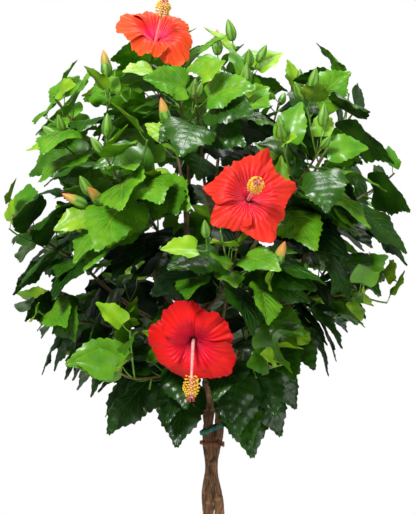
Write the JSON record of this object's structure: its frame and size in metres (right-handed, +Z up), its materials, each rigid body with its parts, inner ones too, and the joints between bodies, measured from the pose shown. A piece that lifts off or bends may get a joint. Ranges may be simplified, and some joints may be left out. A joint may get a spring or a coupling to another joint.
{
  "type": "hibiscus shrub",
  "caption": "Hibiscus shrub grown as a standard, with a plaited trunk of slim stems under a round leafy crown that carries open red blooms and closed buds.",
  "frame": {"origin": "middle of the flat cut under the trunk, at ground level", "axes": "+Z up along the trunk, -Y towards the side with the blooms, +X to the right seen from that side"},
  "size_m": [0.6013, 0.5935, 1.0403],
  "materials": {
    "bark": "rough grey-brown bark with fine upright fissures",
    "green_bark": "smooth young bark, brown below and green above",
    "foliage": "glossy leaf green",
    "petals": "satin red petals with a pink throat",
    "tie_tape": "satin green plastic tape",
    "tie_wire": "thin coated garden wire, rust brown"
  },
  "bodies": {
    "root": {"trunk": "bark", "leader_back": "bark", "leader_right": "bark", "leader_front": "bark", "bough_low_front_left": "green_bark", "bough_low_left": "green_bark", "bough_low_back_left": "green_bark", "bough_low_back_right": "green_bark", "bough_low_right": "green_bark", "bough_low_front_right": "green_bark", "bough_mid_left": "green_bark", "bough_mid_front_left": "green_bark", "bough_mid_front": "green_bark", "bough_mid_front_right": "green_bark", "bough_mid_right": "green_bark", "bough_mid_back_right": "green_bark", "bough_mid_back": "green_bark", "bough_mid_back_left": "green_bark", "bough_high_front": "green_bark", "bough_top_left": "green_bark", "bough_top_front": "green_bark", "bough_top_middle": "green_bark", "bough_top_right": "green_bark", "bough_top_back_left": "green_bark", "bough_top_back_right": "green_bark", "mass_low_front_left": "foliage", "mass_low_left": "foliage", "mass_low_back_left": "foliage", "mass_low_back_right": "foliage", "mass_low_right": "foliage", "mass_low_front_right": "foliage", "mass_mid_left": "foliage", "mass_mid_front_left": "foliage", "mass_mid_front": "foliage", "mass_mid_front_right": "foliage", "mass_mid_right": "foliage", "mass_mid_back_right": "foliage", "mass_mid_back": "foliage", "mass_mid_back_left": "foliage", "mass_high_front": "foliage", "mass_top_left": "foliage", "mass_top_front": "foliage", "mass_top_middle": "foliage", "mass_top_right": "foliage", "mass_top_back_left": "foliage", "mass_top_back_right": "foliage", "bloom_top": "petals", "bloom_middle": "petals", "bloom_low": "petals", "tape_tie": "tie_tape", "wire_tie": "tie_wire"}
  },
  "joints": []
}
